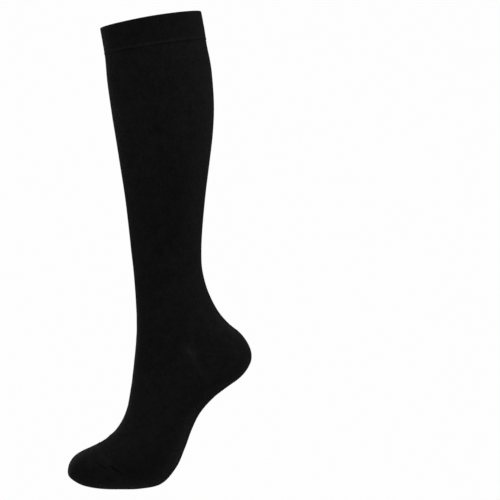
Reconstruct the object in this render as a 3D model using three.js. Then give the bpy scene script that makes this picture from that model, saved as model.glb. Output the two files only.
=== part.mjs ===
import * as THREE from 'three';

// A knee-high compression stocking, filled out as on a raised-heel foot, with nobody in it.
// Millimetres. +Z is up the leg, -X is where the toes point, and Y = 0 is the plane of symmetry.
// The origin is the middle of the top opening, where the leg goes in and the welt grips it.

// Cloth and knitting sizes
const KNIT_THICKNESS = 1.2;
const WELT_THICKNESS = 2.2;
const WELT_PROUD = 0.1;
const SEAM_GAP = 0.4;
const LINKING_RIDGE_HEIGHT = 0.4;
const LINKING_RIDGE_WIDTH = 2.4;

// Grid sizes: facets all round the leg, and rows laid between two neighbouring sections
const FACETS_ROUND = 40;
const ROWS_PER_LEG_SECTION = 2;
const ROWS_PER_HEEL_SECTION = 2;
const ROWS_PER_FOOT_SECTION = 2;
const ROWS_PER_TOE_SECTION = 2;

// Finishes, as seen under studio light
const YARN = { color: 0x17171a, roughness: 0.92, metalness: 0 };
const DOUBLED_YARN = { color: 0x19191c, roughness: 0.9, metalness: 0 };

// One row for each ring of knitting, from the top opening to the toe tip.
// front, side and back are [x, z] points of the ring: the front of the leg or top of the foot,
// the widest place of each side, and the calf, heel or sole. reach is the half width, and power
// is that of the superellipse between those points: 2 is an ellipse. ring names the main rings.
const SECTIONS = [
  { ring: 'top', front: [-56.2, -9.1], side: [1.8, 1.9], back: [55.2, 9.9], reach: 50, power: 2.05 },
  { ring: 'weltEnd', front: [-51.1, -38.3], side: [7.4, -29.5], back: [61.2, -21.3], reach: 51, power: 2.05 },
  { front: [-48.2, -68.1], side: [13.8, -60.3], back: [66.6, -53.7], reach: 52, power: 2.05 },
  { ring: 'calf', front: [-43.8, -100.2], side: [18.5, -94.7], back: [69.5, -90.2], reach: 52.5, power: 2.05 },
  { front: [-38.6, -133.4], side: [20.2, -129.1], back: [68.4, -125.6], reach: 50.5, power: 2.05 },
  { front: [-33.2, -166.6], side: [19.3, -165.1], back: [64, -163.8], reach: 46.5, power: 2.05 },
  { ring: 'calfEnd', front: [-28.2, -199.8], side: [18.3, -199.8], back: [59.6, -199.8], reach: 41, power: 2.05 },
  { front: [-24.2, -233], side: [17, -232.5], back: [56.7, -231.9], reach: 35.5, power: 2.05 },
  { ring: 'ankle', front: [-21.1, -260.7], side: [17.2, -259.3], back: [55.6, -257.9], reach: 31.8, power: 2.05 },
  { front: [-18.7, -282.8], side: [19.2, -280.6], back: [57, -278.4], reach: 31, power: 2.05 },
  { front: [-17.2, -302.8], side: [23.2, -302.2], back: [63.1, -300], reach: 31.8, power: 2.1 },
  { front: [-16.3, -320.5], side: [29.9, -322.7], back: [73.1, -320.3], reach: 33, power: 2.15 },
  { ring: 'legEnd', front: [-15.9, -333.8], side: [37.1, -339.3], back: [85.2, -334.9], reach: 34, power: 2.2 },
  { front: [-15.9, -343.7], side: [43.2, -352.6], back: [99.6, -347], reach: 34.2, power: 2.25 },
  { front: [-16.4, -353.7], side: [46.5, -362.5], back: [109, -361.4], reach: 34, power: 2.25 },
  { ring: 'heel', front: [-17, -363.1], side: [48.7, -372.5], back: [111.3, -373.6], reach: 34, power: 2.25 },
  { front: [-18, -372.5], side: [49.8, -381.9], back: [107.4, -385], reach: 34, power: 2.25 },
  { front: [-19, -381.9], side: [49.3, -391.3], back: [98.1, -396.4], reach: 34.5, power: 2.25 },
  { ring: 'foot', front: [-20.3, -391.9], side: [44.8, -401.3], back: [84.1, -406.5], reach: 35, power: 2.25 },
  { front: [-21.7, -403.5], side: [38.2, -412.9], back: [70.8, -416.8], reach: 36, power: 2.25 },
  { front: [-23.6, -415.7], side: [31.5, -424.5], back: [60.7, -427.1], reach: 37.5, power: 2.25 },
  { front: [-26.2, -429], side: [24.4, -437.3], back: [52, -438.7], reach: 39.5, power: 2.25 },
  { ring: 'archEnd', front: [-31.5, -442.6], side: [17.2, -452], back: [44.1, -455.9], reach: 41.7, power: 2.25 },
  { front: [-38.7, -453.3], side: [8.9, -466.4], back: [37.3, -474.6], reach: 43.4, power: 2.25 },
  { ring: 'ball', front: [-45.9, -459.9], side: [-1.7, -479], back: [28, -495.4], reach: 44.4, power: 2.25 },
  { front: [-51.7, -464.1], side: [-15.5, -489], back: [12.3, -512.9], reach: 44.6, power: 2.25 },
  { ring: 'toe', front: [-57.6, -467.8], side: [-30.4, -495.4], back: [-9.4, -518.5], reach: 43.8, power: 2.25 },
  { front: [-64.7, -471.5], side: [-45.4, -497.6], back: [-30.4, -519.4], reach: 42, power: 2.25 },
  { front: [-72.4, -475], side: [-59.2, -498.4], back: [-49.3, -519.2], reach: 39, power: 2.25 },
  { front: [-79.9, -478.9], side: [-71.4, -498.7], back: [-65, -517.4], reach: 34.5, power: 2.2 },
  { front: [-86.1, -484], side: [-81.6, -499.2], back: [-77.8, -514], reach: 28, power: 2.15 },
  { front: [-90.1, -490.1], side: [-88.3, -499.5], back: [-86.2, -509.4], reach: 19, power: 2.1 },
  { front: [-91.7, -495.2], side: [-91.4, -499.8], back: [-90.8, -505], reach: 10, power: 2.05 },
  { ring: 'toeTip', front: [-92.2, -500], side: [-92.2, -500], back: [-92.2, -500], reach: 0, power: 2 },
];

// The stitches turn gently, not sharply, where a ring bends at the side of the heel.
const SIDE_BEND_SOFTNESS = 0.25;
const FULL_TURN = 2 * Math.PI;
// Turns are measured from the front of the leg: the heel pocket takes the back half.
const HEEL_TURN_START = FULL_TURN / 4;
const HEEL_TURN_END = (3 * FULL_TURN) / 4;
const TOE_TIP_STATION = SECTIONS.length - 1;
const SMALL_STEP = 1e-3;

/** The place of a named section in the table, which is its station along the stocking. */
function stationOf(name) {
  return SECTIONS.findIndex((section) => section.ring === name);
}

/** The front, side, back and sizes of the ring at any station, on a smooth line through the table. */
function sectionAt(station) {
  const last = SECTIONS.length - 1;
  const from = Math.min(Math.max(Math.floor(station), 0), last - 1);
  const share = station - from;
  const row = (index) => SECTIONS[Math.min(Math.max(index, 0), last)];
  const smooth = (pick) => {
    const [before, start, end, after] = [-1, 0, 1, 2].map((step) => pick(row(from + step)));
    const leaving = from === 0 ? end - start : (end - before) / 2;
    const arriving = from === last - 1 ? end - start : (after - start) / 2;
    const squared = share * share;
    const cubed = squared * share;
    return (
      (2 * cubed - 3 * squared + 1) * start +
      (cubed - 2 * squared + share) * leaving +
      (3 * squared - 2 * cubed) * end +
      (cubed - squared) * arriving
    );
  };
  const smoothPoint = (column) => {
    const x = smooth((section) => section[column][0]);
    const z = smooth((section) => section[column][1]);
    return { x, z };
  };
  return {
    front: smoothPoint('front'),
    side: smoothPoint('side'),
    back: smoothPoint('back'),
    reach: Math.max(smooth((section) => section.reach), 0),
    power: smooth((section) => section.power),
  };
}

/** The part of a turn's cosine that is above zero, rounded off near zero. */
function softPositive(value) {
  return (value + Math.hypot(value, SIDE_BEND_SOFTNESS)) / 2;
}

/** How far a turn reaches from the side point towards the back (0 to 1); the front is its mirror. */
function reachToBack(cosine) {
  const least = softPositive(-1);
  return (softPositive(cosine) - least) / (softPositive(1) - least);
}

/** A point of the stocking's outer skin: a superellipse round the side point of its ring. */
function skinPoint(station, turn) {
  const { front, side, back, reach, power } = sectionAt(station);
  const cosine = -Math.cos(turn);
  const sine = Math.sin(turn);
  const scale = (Math.abs(cosine) ** power + Math.abs(sine) ** power) ** (-1 / power);
  const toBack = reachToBack(cosine * scale);
  const toFront = reachToBack(-cosine * scale);
  const centreShare = 1 - toBack - toFront;
  return new THREE.Vector3(
    side.x * centreShare + back.x * toBack + front.x * toFront,
    reach * sine * scale,
    side.z * centreShare + back.z * toBack + front.z * toFront,
  );
}

/** How the skin point moves for each unit of station and for each radian of turn. */
function skinSlopes(station, turn) {
  const low = Math.max(station - SMALL_STEP, 0);
  const high = Math.min(station + SMALL_STEP, TOE_TIP_STATION);
  const alongLeg = skinPoint(high, turn).sub(skinPoint(low, turn)).divideScalar(high - low);
  const round = skinPoint(station, turn + SMALL_STEP)
    .sub(skinPoint(station, turn - SMALL_STEP))
    .divideScalar(2 * SMALL_STEP);
  return { alongLeg, round };
}

/** The direction out of the cloth. At the toe tip it points straight ahead. */
function outward(station, turn) {
  if (station > TOE_TIP_STATION - SMALL_STEP) {
    return new THREE.Vector3(-1, 0, 0);
  }
  const { alongLeg, round } = skinSlopes(station, turn);
  return round.cross(alongLeg).normalize();
}

/** A line of the grid, and the way it draws back from a seam: -1, +1, or 0 for a line off a seam. */
function gridLine(at, drawBack = 0) {
  return { at, drawBack };
}

/** Evenly spaced grid lines from one seam to the next, each end drawn back by half the gap. */
function linesBetween(start, end, count, startDrawBack, endDrawBack) {
  return Array.from({ length: count + 1 }, (_, index) => {
    const drawBack = index === 0 ? startDrawBack : index === count ? endDrawBack : 0;
    return gridLine(start + ((end - start) * index) / count, drawBack);
  });
}

/** The station and turn of a grid crossing, once its lines have drawn back square to their seams. */
function crossing(row, column) {
  if (row.drawBack === 0 && column.drawBack === 0) {
    return { station: row.at, turn: column.at };
  }
  const { alongLeg, round } = skinSlopes(row.at, column.at);
  const halfGapOverArea = SEAM_GAP / 2 / round.clone().cross(alongLeg).length();
  return {
    station: row.at + row.drawBack * halfGapOverArea * round.length(),
    turn: column.at + column.drawBack * halfGapOverArea * alongLeg.length(),
  };
}

/** Puts points and triangles into a geometry, leaving out triangles that close to nothing. */
function closedGeometry(points, triangles) {
  const geometry = new THREE.BufferGeometry();
  const flat = points.flatMap((point) => point.toArray());
  const kept = triangles.filter(([a, b, c]) => a !== b && b !== c && c !== a);
  geometry.setAttribute('position', new THREE.Float32BufferAttribute(flat, 3));
  geometry.setIndex(kept.flat());
  geometry.computeVertexNormals();
  return geometry;
}

/**
 * A knitted wall: the grid cells that keep() accepts, once on the outer skin and once a cloth's
 * thickness inside it, with a strip along every edge where no neighbouring cell carries on.
 */
function knittedWall({ rows, columns, joined, keep = () => true }) {
  const columnCount = columns.length;
  const cellColumns = joined ? columnCount : columnCount - 1;
  const points = [];
  const numbers = new Map();
  const vertex = (rowIndex, columnIndex, inside) => {
    const wrapped = columnIndex % columnCount;
    const atTip = rows[rowIndex].at >= TOE_TIP_STATION;
    const key = `${rowIndex} ${atTip ? 0 : wrapped} ${inside}`;
    if (!numbers.has(key)) {
      const { station, turn } = crossing(rows[rowIndex], columns[wrapped]);
      const depth = inside ? KNIT_THICKNESS : 0;
      points.push(skinPoint(station, turn).addScaledVector(outward(station, turn), -depth));
      numbers.set(key, points.length - 1);
    }
    return numbers.get(key);
  };
  const kept = (row, column) => {
    const wrapped = joined ? (column + cellColumns) % cellColumns : column;
    const inGrid = row >= 0 && row < rows.length - 1 && wrapped >= 0 && wrapped < cellColumns;
    return inGrid && keep(row, wrapped);
  };
  const triangles = [];
  const quad = (a, b, c, d) => triangles.push([a, b, c], [a, c, d]);
  const strip = ([rowA, columnA], [rowB, columnB]) => {
    quad(
      vertex(rowA, columnA, false),
      vertex(rowB, columnB, false),
      vertex(rowB, columnB, true),
      vertex(rowA, columnA, true),
    );
  };
  for (let row = 0; row < rows.length - 1; row += 1) {
    for (let column = 0; column < cellColumns; column += 1) {
      if (!kept(row, column)) continue;
      const corners = [
        [row, column],
        [row, column + 1],
        [row + 1, column + 1],
        [row + 1, column],
      ];
      quad(...corners.map(([r, c]) => vertex(r, c, false)));
      quad(...corners.map(([r, c]) => vertex(r, c, true)).reverse());
      if (!kept(row - 1, column)) strip(corners[1], corners[0]);
      if (!kept(row, column + 1)) strip(corners[2], corners[1]);
      if (!kept(row + 1, column) && rows[row + 1].at < TOE_TIP_STATION) strip(corners[3], corners[2]);
      if (!kept(row, column - 1)) strip(corners[0], corners[3]);
    }
  }
  return closedGeometry(points, triangles);
}

/** Grid lines all round the leg, the first one at the front. */
function linesRound() {
  const step = FULL_TURN / FACETS_ROUND;
  return Array.from({ length: FACETS_ROUND }, (_, index) => gridLine(index * step));
}

/**
 * The welt's closed profile, as the share of the band's depth below the top fold and the height
 * over the leg's skin: a double cloth, folded round at the top, with the linking ridge at its foot.
 */
function weltProfile() {
  const bandDepth = SECTIONS[0].front[1] - SECTIONS[1].front[1];
  const foldRadius = WELT_THICKNESS / 2;
  const outer = WELT_PROUD;
  const inner = WELT_PROUD - WELT_THICKNESS;
  const ridge = WELT_PROUD + LINKING_RIDGE_HEIGHT;
  const end = bandDepth - SEAM_GAP / 2;
  const foldSteps = 4;
  const fold = Array.from({ length: foldSteps + 1 }, (_, index) => {
    const angle = (Math.PI * index) / foldSteps;
    return [foldRadius * (1 - Math.sin(angle)), outer - foldRadius * (1 - Math.cos(angle))];
  });
  const down = [
    [end, inner],
    [end, ridge - LINKING_RIDGE_HEIGHT],
    [end - LINKING_RIDGE_WIDTH / 3, ridge],
    [end - (2 * LINKING_RIDGE_WIDTH) / 3, ridge],
    [end - LINKING_RIDGE_WIDTH, outer],
    [bandDepth / 2, outer],
  ];
  const innerMiddle = [bandDepth / 2, inner];
  return [...fold, innerMiddle, ...down].map(([depth, height]) => ({ share: depth / bandDepth, height }));
}

/** The welt: its profile carried once round the top of the leg. */
function weltBand() {
  const profile = weltProfile();
  const columns = linesRound();
  const start = stationOf('top');
  const points = profile.flatMap(({ share, height }) =>
    columns.map(({ at }) => {
      const station = start + share;
      return skinPoint(station, at).addScaledVector(outward(station, at), height);
    }),
  );
  const triangles = [];
  const count = columns.length;
  profile.forEach((_, row) => {
    const next = (row + 1) % profile.length;
    columns.forEach((__, column) => {
      const beside = (column + 1) % count;
      const here = row * count;
      const below = next * count;
      triangles.push([below + beside, here + beside, here + column]);
      triangles.push([below + column, below + beside, here + column]);
    });
  });
  return closedGeometry(points, triangles);
}

/** A plain length of tube, knitted all round from one named ring to another. */
function plainTube(startRing, endRing, rowsPerSection) {
  const start = stationOf(startRing);
  const end = stationOf(endRing);
  const rows = linesBetween(start, end, (end - start) * rowsPerSection, 1, -1);
  return knittedWall({ rows, columns: linesRound(), joined: true });
}

/** The heel pocket: the back half of the rings between the leg and the sole. */
function heelPocket() {
  const start = stationOf('legEnd');
  const end = stationOf('foot');
  const rows = linesBetween(start, end, (end - start) * ROWS_PER_HEEL_SECTION, 1, -1);
  const columns = linesBetween(HEEL_TURN_START, HEEL_TURN_END, FACETS_ROUND / 2, 1, -1);
  return knittedWall({ rows, columns, joined: false });
}

/** The arch of the foot: over the instep in front of the heel pocket, then all round. */
function footArch() {
  const start = stationOf('legEnd');
  const heelEnd = stationOf('foot');
  const end = stationOf('archEnd');
  const heelRows = (heelEnd - start) * ROWS_PER_HEEL_SECTION;
  const footRows = (end - heelEnd) * ROWS_PER_FOOT_SECTION;
  const rows = [
    ...linesBetween(start, heelEnd, heelRows, 1, 1),
    ...linesBetween(heelEnd, end, footRows, 0, -1).slice(1),
  ];
  const columns = linesRound();
  const quarter = FACETS_ROUND / 4;
  columns[quarter].drawBack = -1;
  columns[3 * quarter].drawBack = 1;
  const keep = (row, column) => row >= heelRows || column < quarter || column >= 3 * quarter;
  return knittedWall({ rows, columns, joined: true, keep });
}

/** The toe pocket, closed at the tip. */
function toePocket() {
  const start = stationOf('toe');
  const rows = linesBetween(start, TOE_TIP_STATION, (TOE_TIP_STATION - start) * ROWS_PER_TOE_SECTION, 1, 0);
  return knittedWall({ rows, columns: linesRound(), joined: true });
}

const stocking = new THREE.Group();

/** Adds one knitted piece to the stocking under its own name. */
function addPiece(name, geometry, finish) {
  const mesh = new THREE.Mesh(geometry, new THREE.MeshStandardMaterial(finish));
  mesh.name = name;
  stocking.add(mesh);
}

addPiece('welt', weltBand(), DOUBLED_YARN);
addPiece('leg_calf', plainTube('weltEnd', 'calfEnd', ROWS_PER_LEG_SECTION), YARN);
addPiece('leg_ankle', plainTube('calfEnd', 'legEnd', ROWS_PER_LEG_SECTION), YARN);
addPiece('heel_pocket', heelPocket(), YARN);
addPiece('foot_arch', footArch(), YARN);
addPiece('foot_ball', plainTube('archEnd', 'toe', ROWS_PER_FOOT_SECTION), YARN);
addPiece('toe_pocket', toePocket(), YARN);

export default stocking;
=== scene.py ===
import bpy
import numpy as np
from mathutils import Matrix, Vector


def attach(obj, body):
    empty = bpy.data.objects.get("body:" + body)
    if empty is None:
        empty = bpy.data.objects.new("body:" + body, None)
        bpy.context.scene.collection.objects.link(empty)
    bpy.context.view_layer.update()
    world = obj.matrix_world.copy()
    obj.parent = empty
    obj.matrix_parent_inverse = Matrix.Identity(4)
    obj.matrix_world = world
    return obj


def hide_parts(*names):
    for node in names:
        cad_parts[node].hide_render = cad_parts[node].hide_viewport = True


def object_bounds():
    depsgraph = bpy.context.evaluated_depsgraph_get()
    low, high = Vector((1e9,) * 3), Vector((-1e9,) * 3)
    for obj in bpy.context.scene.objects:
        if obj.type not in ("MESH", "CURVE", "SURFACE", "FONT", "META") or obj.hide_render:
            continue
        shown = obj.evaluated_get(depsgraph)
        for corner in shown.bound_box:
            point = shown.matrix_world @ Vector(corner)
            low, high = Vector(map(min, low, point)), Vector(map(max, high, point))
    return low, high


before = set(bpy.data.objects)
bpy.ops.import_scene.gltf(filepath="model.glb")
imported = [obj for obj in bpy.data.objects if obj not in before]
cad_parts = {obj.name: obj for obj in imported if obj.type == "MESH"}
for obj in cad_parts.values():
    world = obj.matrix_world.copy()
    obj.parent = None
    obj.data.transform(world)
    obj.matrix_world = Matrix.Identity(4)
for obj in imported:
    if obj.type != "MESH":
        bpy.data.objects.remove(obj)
cad_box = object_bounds()

# Camera and floor, in metres unless a name says otherwise
MM = 0.001
PHOTO_PIXELS = 500
METRES_A_PIXEL = 1.107 * MM
PHOTO_CENTRE = (109.6 * MM, 0.0, -254.6 * MM)
CAMERA_DISTANCE = 3.9
SENSOR_WIDTH_MM = 36.0
FARTHEST_SEEN = 50.0
FLOOR_BELOW_TOES = 0.28
FLOOR_RADIUS = 3.2
FLOOR_SIDES = 96
FLOOR_ROUGHNESS = 0.9
FLOOR_TO_THE_CLOTH = 0.5
FLOOR_TO_THE_CAMERA = 0.16
FLOOR_GLOW = 0.84

# Knitting: ribs all round, stitch columns to a rib, courses down the leg, and the cloth
RIBS_ROUND = 140
WELT_RIBS_ROUND = 112
COLUMNS_A_RIB = 4
QUARTER_COLUMNS = RIBS_ROUND * COLUMNS_A_RIB // 4
COURSE_PITCH = 0.85 * MM
UV_COURSES = 1000.0
UV_FIRST_COURSE = 60.0
KNIT_THICKNESS = 1.1 * MM
WELT_LAYER_THICKNESS = 0.9 * MM

# Rows of each piece's grid along the leg, and points along the welt's profile
LEG_ROWS = 70
HEEL_ROWS = 96
FOOT_ROWS_BESIDE_HEEL = 36
FOOT_ROWS_PAST_HEEL = 56
CREASED_TOE_ROWS = 36
CLOSING_TOE_ROWS = 36
TOE_CLOSING_POWER = 1.35
WELT_INSIDE_POINTS = 12
WELT_FOLD_POINTS = 13
WELT_BAND_POINTS = 22
WELT_EDGE_POINTS = 17

# How finely the form is measured: samples from one ring to the next and round a quarter of it,
# the step of a slope, and how near the tip in stations. Then how sharply a bell falls off.
SAMPLES_A_RING = 40
SAMPLES_A_QUARTER = 49
SLOPE_STEP = 1e-3
NEAR_TIP = 0.02
BELL_SHARPNESS = 2.5

# The welt's profile, in millimetres: the band's depth on either side of its fold, how far the
# welt stands out, its close rows by the lower edge, how that edge tucks in, and a faint line
BAND_DEPTH = 30.3
INNER_EDGE_RISE = 0.4
FOLD_RADIUS = 1.1
WELT_PROUD = 0.1
EDGE_DEPTH = 3.2
EDGE_TUCK = 0.5
EDGE_TUCK_REACH = 0.7
FAINT_LINE_DEPTH = 13.0
FAINT_LINE_WIDTH = 1.6
FAINT_LINE_SINK = 0.14

# The welt's linking ridge: millimetres, its painted highlight, and how it fades between two shares
# from the front, towards the back and towards the front
LINKING_RIDGE_HEIGHT = 0.45
LINKING_RIDGE_RISE = 1.9
LINKING_RIDGE_WIDTH = 2.5
LINKING_PAINTED_HIGHLIGHT = 0.36
LINKING_FADE = 0.6
LINKING_FADES_AT_BACK = (0.32, 0.43)
LINKING_FADES_AT_FRONT = (0.04, 0.12)

# Linking yarn: radius and lift over the knitted face in millimetres, loops, and how pale it is.
# Then where each line runs, and the yarn's shape as shares of its radius and its length.
WELT_YARN = (0.36, 0.4, 224, 0.0)
GORE_YARN = (0.28, 0.1, 18, 0.3)
TOE_YARN = (0.34, 0.1, 90, 0.0)
LINKING_STATION = 0.985
GORE_YARN_SHARES = (("right", (0.264, 0.43)), ("left", (0.736, 0.57)))
TOE_YARN_SHARES = (-0.25, 0.0, 0.25)
YARN_RINGS_A_LOOP = 6
YARN_SIDES = 8
YARN_WAIST = 0.68
YARN_SWING = 0.25
YARN_END = 0.15
YARN_TAPER = 0.12

# Studio: the backdrop as the camera sees it, the light all round, and each lamp's name, place,
# width and power in watts
BACKDROP_LIGHT = 0.985
ROOM_LIGHT_ABOVE = 0.4
ROOM_LIGHT_BELOW = 0.06
LEG_MIDDLE = (0.02, 0.0, -0.26)
STUDIO_LIGHTS = (
    ("right_lamp", (1.35, -0.15, 1.75), 0.9, 18.0),
    ("top_left_lamp", (-1.0, -0.4, 1.6), 1.0, 8.0),
    ("front_lamp", (0.8, -2.55, 0.35), 1.2, 12.4),
    ("rim_lamp", (-1.22, 1.56, -0.2), 0.8, 13.0),
)

# Each knit finish: yarn colour, ribs all round, painted shade between ribs, stitch depth in
# millimetres and mottle
KNIT_FINISHES = {
    "ribbed_knit": ((0.0100, 0.0100, 0.0102), RIBS_ROUND, 0.45, 0.22, 2.0),
    "doubled_knit": ((0.0089, 0.0089, 0.0091), WELT_RIBS_ROUND, 0.55, 0.22, 1.8),
    "plain_knit": ((0.0112, 0.0112, 0.0114), RIBS_ROUND, 0.2, 0.18, 2.0),
}
YARN_ROUGHNESS = 0.92
YARN_SHINE = 0.03
FUZZ = 0.03
FUZZ_ROUGHNESS = 0.35
FUZZ_TINT = (0.9, 0.9, 0.9, 1.0)
WHITE = (1.0, 1.0, 1.0, 1.0)
STITCH_STRENGTH = 0.8
STITCH_SLANT = 0.6
STITCH_WAIST = 0.3

# Tone of the yarn and painted light on it: painted shade at the foot of a stitch and a painted
# highlight on its crown, painted light on a full rib, paleness of cloth drawn thin, painted shade
# in a crease, the least of all, and the mottle's patches, each with its size in millimetres and
# its share
STITCH_FOOT_PAINTED_SHADE = 0.7
STITCH_CROWN_PAINTED_HIGHLIGHT = 1.15
RIB_PAINTED_LIGHT = 0.18
PALENESS_AND_PAINTED_LIGHT_SCALE = 1.3
CREASE_SHADE = 0.37
LEAST_TONE = 0.3
MOTTLE_PATCHES = ((2.6, 0.45), (9.0, 0.35), (31.0, 0.2))
MOTTLE_DETAIL = 2.0

# One row for each ring of knitting, from the top opening to the toe tip, in millimetres: its
# points at the front, at the widest place of each side and at the back, its half width, and the
# power of the superellipse between those points.
COLUMN_NAMES = ("front_x", "front_z", "side_x", "side_z", "back_x", "back_z", "reach", "power")
SECTIONS = np.array(
    [
        (-56.2, -9.1, 1.8, 1.9, 55.2, 9.9, 50.0, 2.05),
        (-51.1, -38.3, 7.4, -29.5, 61.2, -21.3, 51.0, 2.05),
        (-48.2, -68.1, 13.8, -60.3, 66.6, -53.7, 52.0, 2.05),
        (-43.8, -100.2, 18.5, -94.7, 69.5, -90.2, 52.5, 2.05),
        (-38.6, -133.4, 20.2, -129.1, 68.4, -125.6, 50.5, 2.05),
        (-33.2, -166.6, 19.3, -165.1, 64.0, -163.8, 46.5, 2.05),
        (-28.2, -199.8, 18.3, -199.8, 59.6, -199.8, 41.0, 2.05),
        (-24.2, -233.0, 17.0, -232.5, 56.7, -231.9, 35.5, 2.05),
        (-21.1, -260.7, 17.2, -259.3, 55.6, -257.9, 31.8, 2.05),
        (-18.7, -282.8, 19.2, -280.6, 57.0, -278.4, 31.0, 2.05),
        (-17.2, -302.8, 23.2, -302.2, 63.1, -300.0, 31.8, 2.1),
        (-16.3, -320.5, 29.9, -322.7, 73.1, -320.3, 33.0, 2.15),
        (-15.9, -333.8, 37.1, -339.3, 85.2, -334.9, 34.0, 2.2),
        (-15.9, -343.7, 43.2, -352.6, 99.6, -347.0, 34.2, 2.25),
        (-16.4, -353.7, 46.5, -362.5, 109.0, -361.4, 34.0, 2.25),
        (-17.0, -363.1, 48.7, -372.5, 111.3, -373.6, 34.0, 2.25),
        (-18.0, -372.5, 49.8, -381.9, 107.4, -385.0, 34.0, 2.25),
        (-19.0, -381.9, 49.3, -391.3, 98.1, -396.4, 34.5, 2.25),
        (-20.3, -391.9, 44.8, -401.3, 84.1, -406.5, 35.0, 2.25),
        (-21.7, -403.5, 38.2, -412.9, 70.8, -416.8, 36.0, 2.25),
        (-23.6, -415.7, 31.5, -424.5, 60.7, -427.1, 37.5, 2.25),
        (-26.2, -429.0, 24.4, -437.3, 52.0, -438.7, 39.5, 2.25),
        (-31.5, -442.6, 17.2, -452.0, 44.1, -455.9, 41.7, 2.25),
        (-38.7, -453.3, 8.9, -466.4, 37.3, -474.6, 43.4, 2.25),
        (-45.9, -459.9, -1.7, -479.0, 28.0, -495.4, 44.4, 2.25),
        (-51.7, -464.1, -15.5, -489.0, 12.3, -512.9, 44.6, 2.25),
        (-57.6, -467.8, -30.4, -495.4, -9.4, -518.5, 43.8, 2.25),
        (-64.7, -471.5, -45.4, -497.6, -30.4, -519.4, 42.0, 2.25),
        (-72.4, -475.0, -59.2, -498.4, -49.3, -519.2, 39.0, 2.25),
        (-79.9, -478.9, -71.4, -498.7, -65.0, -517.4, 34.5, 2.2),
        (-86.1, -484.0, -81.6, -499.2, -77.8, -514.0, 28.0, 2.15),
        (-90.1, -490.1, -88.3, -499.5, -86.2, -509.4, 19.0, 2.1),
        (-91.7, -495.2, -91.4, -499.8, -90.8, -505.0, 10.0, 2.05),
        (-92.2, -500.0, -92.2, -500.0, -92.2, -500.0, 0.0, 2.0),
    ],
    dtype=[(name, float) for name in COLUMN_NAMES],
)
SIDE_BEND_SOFTNESS = 0.25

# Stations, counted in rings from the top opening, where the pieces start and end. The welt's edge
# hangs a millimetre lower than in the solids, as in the photo.
WELT_END = 1.035
LEG_END = 12
FOOT_START = 18
TOE_START = 26
CREASES_END = 28
TOE_TIP = len(SECTIONS) - 1

# The heel's gore line: the share from the back where it crosses its ring, and rings to a turn
GORE_RING = 15
GORE_LEVEL_SHARE = 0.117
GORE_SLOPE = 3.3


def make_camera():
    """The photo's view: square on from the side, with the photo's own pixel size at the leg."""
    data = bpy.data.cameras.new("photo_camera")
    data.sensor_width = SENSOR_WIDTH_MM
    data.lens = SENSOR_WIDTH_MM * CAMERA_DISTANCE / (PHOTO_PIXELS * METRES_A_PIXEL)
    data.clip_end = FARTHEST_SEEN
    camera = bpy.data.objects.new("photo_camera", data)
    camera.location = Vector(PHOTO_CENTRE) - Vector((0, CAMERA_DISTANCE, 0))
    camera.rotation_euler = (np.pi / 2, 0, 0)
    bpy.context.scene.collection.objects.link(camera)
    bpy.context.scene.camera = camera


make_camera()


def smooth_column(name, station):
    """One column of the table at any station: a cubic through its rows whose slope at each row
    is half the step from the row before to the row after."""
    values = SECTIONS[name]
    slopes = np.gradient(values)
    start = np.clip(np.floor(station).astype(int), 0, TOE_TIP - 1)
    t = station - start
    return (
        (2 * t**3 - 3 * t**2 + 1) * values[start]
        + (t**3 - 2 * t**2 + t) * slopes[start]
        + (3 * t**2 - 2 * t**3) * values[start + 1]
        + (t**3 - t**2) * slopes[start + 1]
    )


def soft_positive(value):
    """The part of a number above zero, rounded off near zero by a hyperbola."""
    return (value + np.hypot(value, SIDE_BEND_SOFTNESS)) / 2


def reach_towards(cosine):
    """How far along from the side point to the front or back point, 0 to 1."""
    least = soft_positive(-1.0)
    return (soft_positive(cosine) - least) / (soft_positive(1.0) - least)


def skin(station, turn):
    """Points of the bare form: each ring is a superellipse, bent at the side of the heel. The
    side point is moved towards the back and front points by the two soft parts of the cosine of
    the turn, and out to each side by its sine times the ring's reach."""
    station, turn = np.broadcast_arrays(np.asarray(station, float), np.asarray(turn, float))
    power = smooth_column("power", station)
    cosine, sine = -np.cos(turn), np.sin(turn)
    scale = (np.abs(cosine) ** power + np.abs(sine) ** power) ** (-1 / power)
    to_back = reach_towards(cosine * scale)
    to_front = reach_towards(-cosine * scale)
    point = {}
    for axis in ("x", "z"):
        side, back, front = (
            smooth_column(f"{part}_{axis}", station) for part in ("side", "back", "front")
        )
        point[axis] = side * (1 - to_back - to_front) + back * to_back + front * to_front
    across = np.maximum(smooth_column("reach", station), 0) * sine * scale
    return np.stack([point["x"], across, point["z"]], axis=-1) * MM


def outward(station, turn):
    """Unit normals of the bare form, from its slopes along the leg and round it."""
    step = SLOPE_STEP
    low, high = np.maximum(station - step, 0), np.minimum(station + step, TOE_TIP - step)
    along = skin(high, turn) - skin(low, turn)
    inner = np.minimum(station, TOE_TIP - 2 * step)
    round_it = skin(inner, turn + step) - skin(inner, turn - step)
    normal = np.cross(round_it, along)
    return normal / np.linalg.norm(normal, axis=-1, keepdims=True)


def even_turns(stations, shares):
    """Turns that space the stitch columns evenly along each ring. A share of 0 is the front, a
    quarter the side and a half the back; each quarter keeps its own stitches."""
    samples = np.linspace(0, np.pi / 2, SAMPLES_A_QUARTER)
    half_share = np.minimum(shares, 1 - shares) * 4
    turns = np.empty((len(stations), len(shares)))
    for row, station in enumerate(np.minimum(stations, TOE_TIP - NEAR_TIP)):
        placed = np.zeros(len(shares))
        for quarter in (0, 1):
            angles = samples + quarter * np.pi / 2
            steps = np.linalg.norm(np.diff(skin(station, angles), axis=0), axis=1)
            lengths = np.concatenate([[0], np.cumsum(steps)])
            here = (half_share >= quarter) & (half_share <= quarter + 1)
            placed[here] = np.interp((half_share[here] - quarter) * lengths[-1], lengths, angles)
        turns[row] = np.where(shares > 0.5, 2 * np.pi - placed, placed)
    return turns


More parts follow.
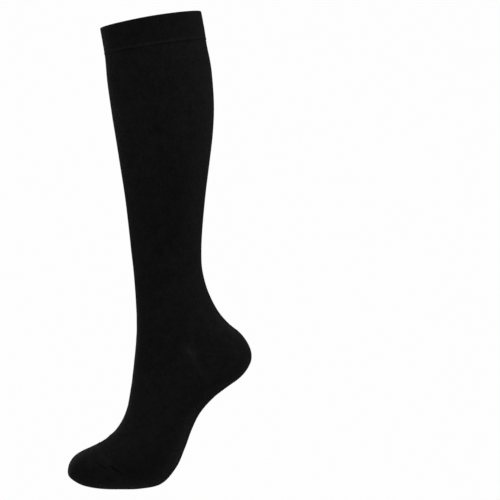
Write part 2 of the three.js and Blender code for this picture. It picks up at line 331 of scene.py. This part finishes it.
def courses_at(station):
    """Courses knitted from the top opening down to a station: the mean length of the front, side
    and back lines of the form so far, over the pitch of a course."""
    fine = np.linspace(0, TOE_TIP, SAMPLES_A_RING * TOE_TIP + 1)
    lines = [skin(fine, np.full_like(fine, turn)) for turn in (0, np.pi / 2, np.pi)]
    steps = np.mean([np.linalg.norm(np.diff(line, axis=0), axis=1) for line in lines], axis=0)
    return np.interp(station, fine, np.concatenate([[0], np.cumsum(steps)])) / COURSE_PITCH


def smooth_step(value, low, high):
    """0 below low, 1 above high, and a smooth cubic between."""
    t = np.clip((value - low) / (high - low), 0, 1)
    return t * t * (3 - 2 * t)


def between(value, start, end):
    """1 between a start and an end, each a pair of limits that it rises or falls across."""
    return smooth_step(value, *start) * (1 - smooth_step(value, *end))


def bell(value, centre, width):
    """A soft ridge profile, 1 at its centre and near nothing a width away: e to the power of minus
    the sharpness times the square of the distance over the width."""
    return np.exp(-(((value - centre) / width) ** 2) * BELL_SHARPNESS)


# Rib height over the plain cloth at some stations, in millimetres
RIB_STATIONS = (0, 1, 3, 6, 9, 12, 14, 18, 22, 25.4, TOE_START, TOE_TIP)
RIB_HEIGHTS = (0.3, 0.36, 0.42, 0.38, 0.28, 0.2, 0.14, 0.16, 0.24, 0.2, 0.05, 0.0)
FULL_RIB_HEIGHT = 0.42

# The plain sole: the stations and the shares from the back that it starts across, and how much
# of the ribs it loses
SOLE_STARTS = (LEG_END - 0.4, LEG_END + 0.4)
SOLE_EDGE = (0.235, 0.262)
SOLE_RIB_LOSS = 0.85

# Ridges of the heel and the toe, heights in millimetres: the heel pocket's edge runs along the
# leg, its gore and the hollow on each side of it slope round the heel, and the toe's seam runs
# across the top. Shares are from the back, and other widths in stations.
POCKET_STARTS = (12.2, 13.4)
POCKET_ENDS = (16.6, 17.8)
POCKET_EDGE_SHARE = 0.252
POCKET_EDGE_WIDTH = 0.012
POCKET_EDGE_HEIGHT = 0.22
GORE_STARTS = (0.06, 0.11)
GORE_ENDS = (0.25, 0.262)
GORE_WIDTH = 0.16
GORE_HEIGHT = 0.2
HOLLOWS_BY_GORE = (-0.42, 0.42)
HOLLOW_WIDTH = 0.26
HOLLOW_DEPTH = 0.07
TOE_SEAM_STARTS = (0.262, 0.285)
TOE_SEAM_WIDTH = 0.14
TOE_SEAM_HEIGHT = 0.14

# Long soft waves in the stretched cloth: waves along the leg and round it, phase, millimetres
CLOTH_WAVES = (
    (0.9, 2, 0.4, 0.10),
    (1.7, 3, 1.9, 0.07),
    (2.6, 5, 4.1, 0.05),
    (4.3, 4, 2.7, 0.04),
    (6.1, 7, 5.2, 0.03),
)

# Short creases by the toe, where the gore gathers: station and share round at its two ends, half
# width and depth in millimetres
TOE_CREASES = (
    ((26.58, 0.22), (26.18, 0.279), 1.4, 1.15),
    ((27.4, 0.206), (26.88, 0.25), 1.2, 0.8),
)

# The part of a half sine that the depth along a crease follows: where it starts, and how much
CREASE_SINE = (0.08, 0.84)

# Where the heel cloth is drawn thin: station and share round at the two ends of each place, half
# width in millimetres, and how thin, 0 to 1
DRAWN_PLACES = (
    ((14.3, 0.235), (14.7, 0.237), 3.8, 0.85),
    ((14.2, 0.235), (14.9, 0.238), 7.2, 0.52),
    ((15.2, 0.244), (16.6, 0.274), 2.4, 0.24),
    ((13.0, 0.262), (14.2, 0.243), 3.0, 0.2),
)

# How far drawn cloth stands out, in millimetres
DRAWN_RISE = 0.35

# Where the cloth is drawn in a little, under the back of the welt and on the instep: station and
# share from the back, how far it reaches along and round, and depth in millimetres
DRAWN_IN = (
    (1.2, 0.0, 0.75, 0.16, 0.72),
    (25.0, 0.5, 1.3, 0.16, 0.4),
)

# Millimetres from one station to the next, and round a full turn
TOE_PITCHES = (13.0, 240.0)
HEEL_PITCHES = (10.0, 320.0)


def from_line(station, share, start, end, pitches):
    """Distance in millimetres of each place from a straight line between two places of the cloth,
    and how far along it lies, 0 to 1. The pitches are the millimetres from one station to the next
    and round a full turn."""
    pitches = np.array(pitches)
    across = np.stack([station - start[0], share - start[1]], axis=-1) * pitches
    line = (np.array(end) - start) * pitches
    along = np.clip(across @ line / (line @ line), 0, 1)
    return np.linalg.norm(across - along[..., None] * line, axis=-1), along


def one_side_share(share):
    """A share round the leg, folded onto the side from the front, 0, to the back, a half."""
    share = np.mod(share, 1.0)
    return np.minimum(share, 1 - share)


def drawn_thin(station, share):
    """How far the cloth is drawn thin at each place, 0 to 1: it shows paler round the front end of
    the heel's gore, on both sides of the foot."""
    thin = np.zeros(np.broadcast(station, share).shape)
    for start, end, half_width, amount in DRAWN_PLACES:
        distance, _ = from_line(station, one_side_share(share), start, end, HEEL_PITCHES)
        thin = np.maximum(thin, amount * np.exp(-((distance / half_width) ** 2)))
    return thin


def gathered(station, share):
    """How deep each place lies in the toe's creases, in millimetres: a bell across each crease,
    and most of half a sine along it."""
    depth = np.zeros(np.broadcast(station, share).shape)
    sine_start, sine_length = CREASE_SINE
    for start, end, half_width, deepest in TOE_CREASES:
        distance, along = from_line(station, one_side_share(share), start, end, TOE_PITCHES)
        across = deepest * np.exp(-((distance / half_width) ** 2))
        depth = depth + across * np.sin(np.pi * (sine_start + sine_length * along))
    return depth


def rib_height(station, share):
    """Height of the ribs in millimetres: by station, and nearly none on the heel and the sole."""
    from_back = np.abs(np.mod(share, 1.0) - 0.5)
    sole = smooth_step(station, *SOLE_STARTS) * (1 - smooth_step(from_back, *SOLE_EDGE))
    return np.interp(station, RIB_STATIONS, RIB_HEIGHTS) * (1 - SOLE_RIB_LOSS * sole)


def gore_station(from_back):
    """The station of the heel's gore line, which slopes down from the side to the back."""
    return GORE_RING + GORE_SLOPE * (GORE_LEVEL_SHARE - from_back)


def relief(station, share, ribs_round=RIBS_ROUND):
    """Height of the knitted face over the bare form, in metres: cosine ribs, the long waves of
    stretched cloth, the edge of the heel pocket and its gore, the toe's creases and its linked
    seam, and the places where the cloth is drawn in or thin."""
    share = np.mod(share, 1.0)
    from_back = np.abs(share - 0.5)
    height = rib_height(station, share) * 0.5 * np.cos(2 * np.pi * ribs_round * share)
    for along, round_it, phase, size in CLOTH_WAVES:
        wave_round = np.cos(2 * np.pi * round_it * share + phase)
        height = height + size * np.sin(along * station + phase) * wave_round
    in_pocket = between(station, POCKET_STARTS, POCKET_ENDS)
    pocket_edge = bell(from_back, POCKET_EDGE_SHARE, POCKET_EDGE_WIDTH)
    height = height + POCKET_EDGE_HEIGHT * in_pocket * pocket_edge
    on_gore = between(from_back, GORE_STARTS, GORE_ENDS)
    from_gore = station - gore_station(from_back)
    height = height + GORE_HEIGHT * on_gore * bell(from_gore, 0.0, GORE_WIDTH)
    beside_gore = sum(bell(from_gore, away, HOLLOW_WIDTH) for away in HOLLOWS_BY_GORE)
    height = height - HOLLOW_DEPTH * on_gore * beside_gore - gathered(station, share)
    for middle, middle_share, along_reach, round_reach, deepest in DRAWN_IN:
        drawn = bell(station, middle, along_reach) * bell(from_back, middle_share, round_reach)
        height = height - deepest * drawn
    on_top = smooth_step(from_back, *TOE_SEAM_STARTS)
    height = height + TOE_SEAM_HEIGHT * on_top * bell(station, TOE_START, TOE_SEAM_WIDTH)
    return (height + DRAWN_RISE * drawn_thin(station, share)) * MM


def knit_face(station, share, extra=0.0, ribs_round=RIBS_ROUND):
    """Points of the knitted face at arrays of rows by columns: the form, moved out by its relief
    and any extra height."""
    turns = even_turns(station[:, 0], np.mod(share[0], 1.0))
    height = relief(station, share, ribs_round) + extra
    return skin(station, turns) + outward(station, turns) * height[..., None]


slot_materials = {}


def add_mesh(name, points, faces, uv, slot_name, **point_values):
    """Puts rows of points and faces, with a UV place for each face corner and named values at each
    point, into a mesh that is smooth but for its open edges."""
    mesh = bpy.data.meshes.new(name)
    mesh.from_pydata(points.tolist(), [], faces if isinstance(faces, list) else faces.tolist())
    layer = mesh.uv_layers.new(name="knit")
    layer.data.foreach_set("uv", uv.astype(np.float32).ravel())
    mesh.shade_smooth()
    corner_edges = np.empty(len(mesh.loops), dtype=np.int32)
    mesh.loops.foreach_get("edge_index", corner_edges)
    open_edges = np.bincount(corner_edges, minlength=len(mesh.edges)) == 1
    mesh.attributes.new("sharp_edge", "BOOLEAN", "EDGE").data.foreach_set("value", open_edges)
    for value_name, values in point_values.items():
        layer = mesh.attributes.new(value_name, "FLOAT", "POINT")
        layer.data.foreach_set("value", values.astype(np.float32).ravel())
    mesh.materials.append(slot_materials[slot_name])
    mesh.update()
    piece = bpy.data.objects.new(name, mesh)
    bpy.context.scene.collection.objects.link(piece)
    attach(piece, "root")
    return piece


def grid_faces(rows, columns, keep=None, joined=False):
    """Quads of a grid of points, and their corners as row and column before wrapping round."""
    cell_columns = columns if joined else columns - 1
    row, column = np.meshgrid(np.arange(rows - 1), np.arange(cell_columns), indexing="ij")
    row, column = row.ravel(), column.ravel()
    if keep is not None:
        kept = keep(row, column)
        row, column = row[kept], column[kept]
    corner_rows = np.stack([row, row, row + 1, row + 1], axis=1)
    corner_columns = np.stack([column, column + 1, column + 1, column], axis=1)
    return corner_rows * columns + corner_columns % columns, corner_rows, corner_columns


def knit_uv(corner_rows, corner_columns, courses, shares):
    """UV places: the share round the leg, and the course number over a thousand."""
    whole = np.append(shares, shares[0] + 1.0)
    return np.stack(
        [whole[corner_columns], (courses[corner_rows] + UV_FIRST_COURSE) / UV_COURSES], axis=-1
    ).reshape(-1, 2)


def cloth_values(station, share):
    """The values that the finishes read at each point: paleness and painted light, above 0 where
    the cloth is drawn thin and below 0 for the painted shade in a crease, and how full its ribs
    are."""
    return {
        # Paleness of cloth drawn thin, less painted shade in the toe's creases
        "openness": drawn_thin(station, share) - CREASE_SHADE * gathered(station, share),
        "rib_fullness": rib_height(station, share) / FULL_RIB_HEIGHT,
    }


def knitted_piece(name, slot_name, stations, shares, joined, keep=None):
    """A single-layer knitted piece: the knitted face on a grid of courses by stitch columns, then
    given its thickness inwards."""
    station, share = np.meshgrid(stations, shares, indexing="ij")
    points = knit_face(station, share).reshape(-1, 3)
    faces, corner_rows, corner_columns = grid_faces(len(stations), len(shares), keep, joined)
    uv = knit_uv(corner_rows, corner_columns, courses_at(stations), shares)
    used, numbers = np.unique(faces, return_inverse=True)
    values = {key: value.ravel()[used] for key, value in cloth_values(station, share).items()}
    piece = add_mesh(name, points[used], numbers.reshape(faces.shape), uv, slot_name, **values)
    thicken(piece, KNIT_THICKNESS)
    return piece


def thicken(piece, thickness):
    """Gives a knitted face its thickness on the inside."""
    wall = piece.modifiers.new("thickness", "SOLIDIFY")
    wall.thickness = thickness
    wall.offset = -1
    wall.use_even_offset = False


def all_round(ribs_round=RIBS_ROUND):
    """Shares of the stitch columns all round, the first at the front."""
    columns = ribs_round * COLUMNS_A_RIB
    return np.arange(columns) / columns


def rows_between(start, end, count):
    """Stations evenly spaced from one ring to another, both included."""
    return np.linspace(start, end, count + 1)


def make_leg():
    """The leg tube, from under the welt to the ring where the heel pocket starts."""
    stations = rows_between(WELT_END, LEG_END, LEG_ROWS)
    return knitted_piece("leg_knit", "ribbed_knit", stations, all_round(), True)


def make_heel():
    """The heel pocket: the back half of the rings between the leg and the sole."""
    stations = rows_between(LEG_END, FOOT_START, HEEL_ROWS)
    shares = np.arange(QUARTER_COLUMNS, 3 * QUARTER_COLUMNS + 1) / (4 * QUARTER_COLUMNS)
    return knitted_piece("heel_knit", "plain_knit", stations, shares, False)


def make_foot():
    """The foot tube: its rows beside the heel pocket keep only the instep half."""
    beside_heel = rows_between(LEG_END, FOOT_START, FOOT_ROWS_BESIDE_HEEL)
    past_heel = rows_between(FOOT_START, TOE_START, FOOT_ROWS_PAST_HEEL)
    stations = np.concatenate([beside_heel, past_heel[1:]])

    def keep(row, column):
        in_front = (column < QUARTER_COLUMNS) | (column >= 3 * QUARTER_COLUMNS)
        return (row >= FOOT_ROWS_BESIDE_HEEL) | in_front

    return knitted_piece("foot_knit", "ribbed_knit", stations, all_round(), True, keep)


def make_toe():
    """The toe pocket, closed at the tip: close rows where it creases, then rings that draw together
    as a power of what is left."""
    left = np.linspace(1, 0, CLOSING_TOE_ROWS + 1)[1:-1]
    creased = rows_between(TOE_START, CREASES_END, CREASED_TOE_ROWS)
    closing = TOE_TIP - (TOE_TIP - CREASES_END) * left**TOE_CLOSING_POWER
    stations = np.concatenate([creased, closing])
    shares = all_round()
    station, share = np.meshgrid(stations, shares, indexing="ij")
    points = knit_face(station, share).reshape(-1, 3)
    faces, corner_rows, corner_columns = grid_faces(len(stations), len(shares), joined=True)
    courses = np.append(courses_at(stations), courses_at(TOE_TIP))
    uv = knit_uv(corner_rows, corner_columns, courses, shares)
    column = np.arange(len(shares))
    last_ring = (len(stations) - 1) * len(shares)
    tip = np.full_like(column, len(points))
    cap = last_ring + np.stack([column, (column + 1) % len(shares), tip - last_ring], axis=1)
    cap_rows = len(stations) - 1 + np.tile([0, 0, 1], (len(shares), 1))
    cap_columns = column[:, None] + [0, 1, 0]
    piece = add_mesh(
        "toe_knit",
        np.concatenate([points, skin(np.array([TOE_TIP]), np.array([0.0]))]),
        faces.tolist() + cap.tolist(),
        np.concatenate([uv, knit_uv(cap_rows, cap_columns, courses, shares)]),
        "plain_knit",
        **{key: np.append(value, 0.0) for key, value in cloth_values(station, share).items()},
    )
    thicken(piece, KNIT_THICKNESS)
    return piece


def linking_strength(share):
    """How far the linking stands out round the leg: 1 at the sides, less at the front and back."""
    from_front = one_side_share(share)
    at_back = smooth_step(from_front, *LINKING_FADES_AT_BACK)
    at_front = 1 - smooth_step(from_front, *LINKING_FADES_AT_FRONT)
    return 1 - LINKING_FADE * np.maximum(at_back, at_front)


def make_welt():
    """The welt: one cloth folded over at the top of the leg. Its profile runs up the inside, round
    a half circle and down the outside, where it ends in the linking ridge over the leg's top."""
    band = BAND_DEPTH
    inside = np.linspace(band - INNER_EDGE_RISE, FOLD_RADIUS, WELT_INSIDE_POINTS)
    angle = np.linspace(0, np.pi, WELT_FOLD_POINTS)[1:-1]
    by_edge = np.linspace(band - EDGE_DEPTH, band, WELT_EDGE_POINTS)
    above_edge = 2 * by_edge[0] - by_edge[1]
    outside = np.concatenate([np.linspace(FOLD_RADIUS, above_edge, WELT_BAND_POINTS), by_edge])
    depth = np.concatenate([inside, FOLD_RADIUS * (1 - np.sin(angle)), outside])
    inner_height = np.full_like(inside, WELT_PROUD - 2 * FOLD_RADIUS)
    fold_height = WELT_PROUD - FOLD_RADIUS * (1 + np.cos(angle))
    from_foot = band - outside
    outer_height = (
        WELT_PROUD
        - FAINT_LINE_SINK * bell(outside, FAINT_LINE_DEPTH, FAINT_LINE_WIDTH)
        - EDGE_TUCK * (1 - smooth_step(from_foot, 0.0, EDGE_TUCK_REACH))
    )
    height = np.concatenate([inner_height, fold_height, outer_height])
    steps = np.hypot(np.diff(depth), np.diff(height))
    courses = (np.concatenate([[0], np.cumsum(steps)]) - band) * MM / COURSE_PITCH
    shares = all_round(WELT_RIBS_ROUND)
    station, share = np.meshgrid(depth / band * WELT_END, shares, indexing="ij")
    on_face = np.arange(len(depth)) >= len(inside) + len(angle)
    ridge = on_face * bell(band - depth, LINKING_RIDGE_RISE, LINKING_RIDGE_WIDTH)
    ridge = ridge[:, None] * linking_strength(share)
    extra = (height[:, None] + LINKING_RIDGE_HEIGHT * ridge) * MM
    points = knit_face(station, share, extra, WELT_RIBS_ROUND).reshape(-1, 3)
    faces, corner_rows, corner_columns = grid_faces(len(depth), len(shares), joined=True)
    uv = knit_uv(corner_rows, corner_columns, courses, shares)
    values = cloth_values(station, share)
    # A painted highlight along the welt's linking ridge
    values["openness"] = values["openness"] + LINKING_PAINTED_HIGHLIGHT * ridge
    piece = add_mesh("welt_knit", points, faces, uv, "doubled_knit", **values)
    thicken(piece, WELT_LAYER_THICKNESS)
    return piece


def yarn_line(name, slot_name, stations, shares, yarn, closed=False):
    """A line of linking yarn on the knitted face: a thin tube round the path between the given
    places, which narrows between its loops, swings a little from side to side at each and tapers
    at its open ends."""
    radius_mm, lift_mm, loops, paleness = yarn
    radius, lift = radius_mm * MM, lift_mm * MM
    count = loops * YARN_RINGS_A_LOOP
    t = np.arange(count) / count if closed else np.linspace(0, 1, count + 1)
    spots = np.linspace(0, 1, len(stations))
    station, share = np.interp(t, spots, stations), np.interp(t, spots, shares)
    turn = even_turns(station, np.mod(share, 1.0))[np.arange(len(t)), np.arange(len(t))]
    normal = outward(station, turn)
    if closed:
        # The welt's linking sinks where its ridge fades
        lift = lift * linking_strength(share)
    centre = skin(station, turn) + normal * (relief(station, share) + lift)[:, None]
    along = np.gradient(centre, axis=0)
    if closed:
        along = np.roll(centre, -1, axis=0) - np.roll(centre, 1, axis=0)
    along /= np.linalg.norm(along, axis=1, keepdims=True)
    side = np.cross(along, normal)
    ring = radius * (YARN_WAIST + (1 - YARN_WAIST) * np.abs(np.sin(np.pi * loops * t)))
    if not closed:
        inner = between(t, (0.0, YARN_TAPER), (1 - YARN_TAPER, 1.0))
        ring = ring * (YARN_END + (1 - YARN_END) * inner)
    swing = YARN_SWING * radius * np.sin(2 * np.pi * loops * t)
    angle = np.arange(YARN_SIDES) * 2 * np.pi / YARN_SIDES
    points = (
        centre[:, None, :]
        + normal[:, None, :] * (ring[:, None] * np.cos(angle))[..., None]
        + side[:, None, :] * (ring[:, None] * np.sin(angle) + swing[:, None])[..., None]
    )
    rows = len(t)
    face_rows = rows if closed else rows - 1
    row, column = np.meshgrid(np.arange(face_rows), np.arange(YARN_SIDES), indexing="ij")
    row, column = row.ravel(), column.ravel()
    corner_rows = np.stack([row, row + 1, row + 1, row], axis=1)
    corner_columns = np.stack([column, column, column + 1, column + 1], axis=1)
    faces = (corner_rows % rows) * YARN_SIDES + corner_columns % YARN_SIDES
    uv = np.stack([corner_rows / rows, corner_columns / (YARN_SIDES * UV_COURSES)], axis=-1)
    uv = uv.reshape(-1, 2)
    points = points.reshape(-1, 3)
    all_faces = faces.tolist()
    if not closed:
        last = len(points) - 1
        all_faces += [list(range(YARN_SIDES)), [last - corner for corner in range(YARN_SIDES)]]
        uv = np.concatenate([uv, np.zeros((2 * YARN_SIDES, 2))])
    return add_mesh(
        name, points, all_faces, uv, slot_name, openness=np.full(len(points), paleness)
    )


def add_node(tree, kind, inputs=None, **settings):
    """Adds a shader node with its settings, and sets or links its inputs by name or number."""
    node = tree.nodes.new(kind)
    for key, value in settings.items():
        setattr(node, key, value)
    for key, value in (inputs or {}).items():
        if isinstance(value, bpy.types.NodeSocket):
            tree.links.new(value, node.inputs[key])
        else:
            node.inputs[key].default_value = value
    return node


def place_group(tree, group, inputs):
    """Places a node group with its values, and gives its outputs."""
    return add_node(tree, "ShaderNodeGroup", inputs, node_tree=group).outputs


def arithmetic(tree, operation, *values):
    """The result of one Math node."""
    return add_node(tree, "ShaderNodeMath", dict(enumerate(values)), operation=operation).outputs[0]


def node_group(name, inputs, outputs):
    """A shader node group with named sockets of the given kinds, its input node's sockets and its
    output node. Each material gives it all its values."""
    tree = bpy.data.node_groups.new(name, "ShaderNodeTree")
    for in_out, sockets in (("INPUT", inputs), ("OUTPUT", outputs)):
        for socket_name, kind in sockets.items():
            tree.interface.new_socket(socket_name, in_out=in_out, socket_type=kind)
    return tree, tree.nodes.new("NodeGroupInput").outputs, tree.nodes.new("NodeGroupOutput")


def stitch_group():
    """Height of the stitches over the cloth, 0 to 1, from the knit's UV places, and how far between
    its ribs each place lies, 0 on a crown and 1 in a groove, for the painted shade between ribs.
    Each
    wale is a V: its two legs are round across and slant up away from its middle line, one loop a
    course. A rib is a cosine round the leg."""
    tree, given, result = node_group(
        "knit stitches",
        {
            "Place": "NodeSocketVector",
            "Ribs round": "NodeSocketFloat",
            "Wales round": "NodeSocketFloat",
            "Courses": "NodeSocketFloat",
            "Slant": "NodeSocketFloat",
        },
        {"Height": "NodeSocketFloat", "Between ribs": "NodeSocketFloat"},
    )
    place = add_node(tree, "ShaderNodeSeparateXYZ", {0: given["Place"]}).outputs
    wale = arithmetic(tree, "FRACT", arithmetic(tree, "MULTIPLY", place[0], given["Wales round"]))
    from_middle = arithmetic(tree, "ABSOLUTE", arithmetic(tree, "MULTIPLY_ADD", wale, 2.0, -1.0))
    leg_side = arithmetic(tree, "MULTIPLY_ADD", from_middle, 2.0, -1.0)
    leg = arithmetic(tree, "SUBTRACT", 1.0, arithmetic(tree, "MULTIPLY", leg_side, leg_side))
    course = arithmetic(tree, "MULTIPLY", place[1], given["Courses"])
    slanted = arithmetic(tree, "MULTIPLY_ADD", from_middle, given["Slant"], course)
    wave = arithmetic(tree, "COSINE", arithmetic(tree, "MULTIPLY", slanted, 2 * np.pi))
    loop = arithmetic(tree, "MULTIPLY_ADD", wave, STITCH_WAIST, 1 - STITCH_WAIST)
    tree.links.new(arithmetic(tree, "MULTIPLY", leg, loop), result.inputs["Height"])
    ribs_so_far = arithmetic(tree, "MULTIPLY", place[0], given["Ribs round"])
    rib = arithmetic(tree, "MULTIPLY", ribs_so_far, 2 * np.pi)
    off_crown = arithmetic(tree, "MULTIPLY_ADD", arithmetic(tree, "COSINE", rib), -0.5, 0.5)
    tree.links.new(off_crown, result.inputs["Between ribs"])
    return tree


def mottle_group():
    """The yarn's colour from place to place: soft patches a few millimetres across over wider
    ones, as dyed elastic yarn has, times painted shade at the foot of each stitch and a painted
    highlight on its crown, painted shade between the ribs and painted light on full ribs, the
    paleness of cloth that is drawn thin, painted shade in creases and a painted highlight on the
    welt's linking ridge."""
    tree, given, result = node_group(
        "yarn mottle",
        {
            "Yarn": "NodeSocketColor",
            "Amount": "NodeSocketFloat",
            "Stitch height": "NodeSocketFloat",
            "Between ribs": "NodeSocketFloat",
            "Rib shade": "NodeSocketFloat",
            "Rib fullness": "NodeSocketFloat",
            "Paleness and painted light": "NodeSocketFloat",
        },
        {"Color": "NodeSocketColor"},
    )
    place = add_node(tree, "ShaderNodeTexCoord").outputs["Object"]
    patches = 0.0
    for size_mm, weight in MOTTLE_PATCHES:
        noise = add_node(
            tree,
            "ShaderNodeTexNoise",
            {"Vector": place, "Scale": 1.0 / (size_mm * MM), "Detail": MOTTLE_DETAIL},
        ).outputs["Fac"]
        patches = arithmetic(tree, "MULTIPLY_ADD", noise, weight, patches)
    centred = arithmetic(tree, "SUBTRACT", patches, 0.5)
    light = arithmetic(tree, "MULTIPLY_ADD", centred, given["Amount"], 1.0)
    # Painted shade at the foot of each stitch and a painted highlight on its crown
    stitch_range = STITCH_CROWN_PAINTED_HIGHLIGHT - STITCH_FOOT_PAINTED_SHADE
    height = given["Stitch height"]
    stitch = arithmetic(tree, "MULTIPLY_ADD", height, stitch_range, STITCH_FOOT_PAINTED_SHADE)
    # Painted shade between the ribs, and painted light on full ribs
    from_mean = arithmetic(tree, "SUBTRACT", 0.5, given["Between ribs"])
    crown = arithmetic(tree, "MULTIPLY_ADD", from_mean, given["Rib shade"], RIB_PAINTED_LIGHT)
    rib = arithmetic(tree, "MULTIPLY_ADD", crown, given["Rib fullness"], 1.0)
    # Paleness of cloth drawn thin, painted shade in creases and a painted highlight on the linking
    # ridge
    pale_and_painted_tone = arithmetic(tree, "MULTIPLY_ADD", given["Paleness and painted light"], PALENESS_AND_PAINTED_LIGHT_SCALE, 1.0)
    tone = light
    for share_of_light in (stitch, rib, arithmetic(tree, "MAXIMUM", pale_and_painted_tone, LEAST_TONE)):
        tone = arithmetic(tree, "MULTIPLY", tone, share_of_light)
    colour = add_node(
        tree, "ShaderNodeVectorMath", {0: given["Yarn"], "Scale": tone}, operation="SCALE"
    ).outputs[0]
    tree.links.new(colour, result.inputs["Color"])
    return tree


def make_knit_material(name, groups, yarn, ribs, rib_shade, stitch_depth_mm, mottle):
    """One knit finish: black yarn with its mottle, stitches as fine relief, and soft fuzz."""
    material = bpy.data.materials.new(name)
    material.use_nodes = True
    tree = material.node_tree
    tree.nodes.clear()
    place = add_node(tree, "ShaderNodeUVMap", uv_map="knit").outputs[0]
    openness, fullness = (
        add_node(tree, "ShaderNodeAttribute", attribute_name=value).outputs["Fac"]
        for value in ("openness", "rib_fullness")
    )
    stitches = place_group(
        tree,
        groups["stitches"],
        {
            "Place": place,
            "Ribs round": ribs,
            "Wales round": 2 * ribs,
            "Courses": UV_COURSES,
            "Slant": STITCH_SLANT,
        },
    )
    tone = place_group(
        tree,
        groups["mottle"],
        {
            "Yarn": (*yarn, 1.0),
            "Amount": mottle,
            "Stitch height": stitches["Height"],
            "Between ribs": stitches["Between ribs"],
            "Rib shade": rib_shade,
            "Rib fullness": fullness,
            "Paleness and painted light": openness,
        },
    )
    bump = add_node(
        tree,
        "ShaderNodeBump",
        {
            "Strength": STITCH_STRENGTH,
            "Distance": stitch_depth_mm * MM,
            "Height": stitches["Height"],
        },
    )
    shader = add_node(
        tree,
        "ShaderNodeBsdfPrincipled",
        {
            "Base Color": tone["Color"],
            "Normal": bump.outputs["Normal"],
            "Roughness": YARN_ROUGHNESS,
            "Specular IOR Level": YARN_SHINE,
            "Sheen Weight": FUZZ,
            "Sheen Roughness": FUZZ_ROUGHNESS,
            "Sheen Tint": FUZZ_TINT,
        },
    )
    add_node(tree, "ShaderNodeOutputMaterial", {"Surface": shader.outputs[0]})
    return material


def make_materials():
    """The three finishes: the ribbed leg and foot, the doubled welt, and the plain heel and toe."""
    groups = {"stitches": stitch_group(), "mottle": mottle_group()}
    for slot_name, values in KNIT_FINISHES.items():
        slot_materials[slot_name] = make_knit_material(slot_name, groups, *values)


def make_world():
    """A white backdrop to the camera, and dimmer white light all round on the cloth."""
    world = bpy.data.worlds.new("studio")
    world.use_nodes = True
    tree = world.node_tree
    tree.nodes.clear()
    seen = add_node(tree, "ShaderNodeLightPath").outputs["Is Camera Ray"]
    direction = add_node(tree, "ShaderNodeTexCoord").outputs["Generated"]
    upward = add_node(tree, "ShaderNodeSeparateXYZ", {0: direction}).outputs[2]
    mean_light = (ROOM_LIGHT_ABOVE + ROOM_LIGHT_BELOW) / 2
    half_range = (ROOM_LIGHT_ABOVE - ROOM_LIGHT_BELOW) / 2
    room = arithmetic(tree, "MULTIPLY_ADD", upward, half_range, mean_light)
    backdrop = add_node(tree, "ShaderNodeMix", {"Factor": seen, "A": room, "B": BACKDROP_LIGHT})
    strength = backdrop.outputs[0]
    light = add_node(tree, "ShaderNodeBackground", {"Color": WHITE, "Strength": strength})
    add_node(tree, "ShaderNodeOutputWorld", {"Surface": light.outputs[0]})
    bpy.context.scene.world = world


def make_lights():
    """Soft square lights, each turned to the middle of the leg."""
    for name, place, size, power in STUDIO_LIGHTS:
        data = bpy.data.lights.new(name, "AREA")
        data.shape = "SQUARE"
        data.size = size
        data.energy = power
        lamp = bpy.data.objects.new(name, data)
        lamp.location = place
        to_leg = Vector(LEG_MIDDLE) - Vector(place)
        lamp.rotation_euler = to_leg.to_track_quat("-Z", "Y").to_euler()
        bpy.context.scene.collection.objects.link(lamp)


def make_floor():
    """A plain pale disc under the stocking, too low to show in the photo's own view."""
    angle = np.linspace(0, 2 * np.pi, FLOOR_SIDES + 1)[:-1]
    height = cad_box[0][2] - FLOOR_BELOW_TOES
    rim = np.stack([np.cos(angle), np.sin(angle), np.zeros_like(angle)], axis=-1) * FLOOR_RADIUS
    rim[:, 2] = height
    mesh = bpy.data.meshes.new("floor")
    mesh.from_pydata(rim.tolist(), [], [list(range(FLOOR_SIDES))])
    material = bpy.data.materials.new("studio_floor")
    material.use_nodes = True
    tree = material.node_tree
    tree.nodes.clear()
    seen = add_node(tree, "ShaderNodeLightPath").outputs["Is Camera Ray"]
    colour = add_node(
        tree,
        "ShaderNodeMix",
        {"Factor": seen, "A": FLOOR_TO_THE_CLOTH, "B": FLOOR_TO_THE_CAMERA},
    ).outputs[0]
    shader = add_node(
        tree,
        "ShaderNodeBsdfPrincipled",
        {
            "Base Color": colour,
            "Roughness": FLOOR_ROUGHNESS,
            "Specular IOR Level": 0.0,
            "Emission Color": WHITE,
            "Emission Strength": arithmetic(tree, "MULTIPLY", seen, FLOOR_GLOW),
        },
    )
    add_node(tree, "ShaderNodeOutputMaterial", {"Surface": shader.outputs[0]})
    mesh.materials.append(material)
    floor = bpy.data.objects.new("floor", mesh)
    bpy.context.scene.collection.objects.link(floor)


make_world()
make_lights()
make_floor()
make_materials()

welt = make_welt()
leg = make_leg()
heel = make_heel()
foot = make_foot()
toe = make_toe()

welt_linking = yarn_line(
    "welt_linking", "doubled_knit", (LINKING_STATION,) * 2, (0.0, 1.0), WELT_YARN, closed=True
)
heel_gores = [
    yarn_line(
        f"heel_gore_{side}",
        "plain_knit",
        [gore_station(abs(share - 0.5)) for share in shares],
        shares,
        GORE_YARN,
    )
    for side, shares in GORE_YARN_SHARES
]
toe_linking = yarn_line(
    "toe_linking", "plain_knit", (TOE_START,) * 3, TOE_YARN_SHARES, TOE_YARN
)

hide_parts("welt")
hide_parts("leg_calf", "leg_ankle")
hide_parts("heel_pocket")
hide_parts("foot_arch", "foot_ball")
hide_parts("toe_pocket")

bpy.context.scene.view_settings.view_transform = "Standard"
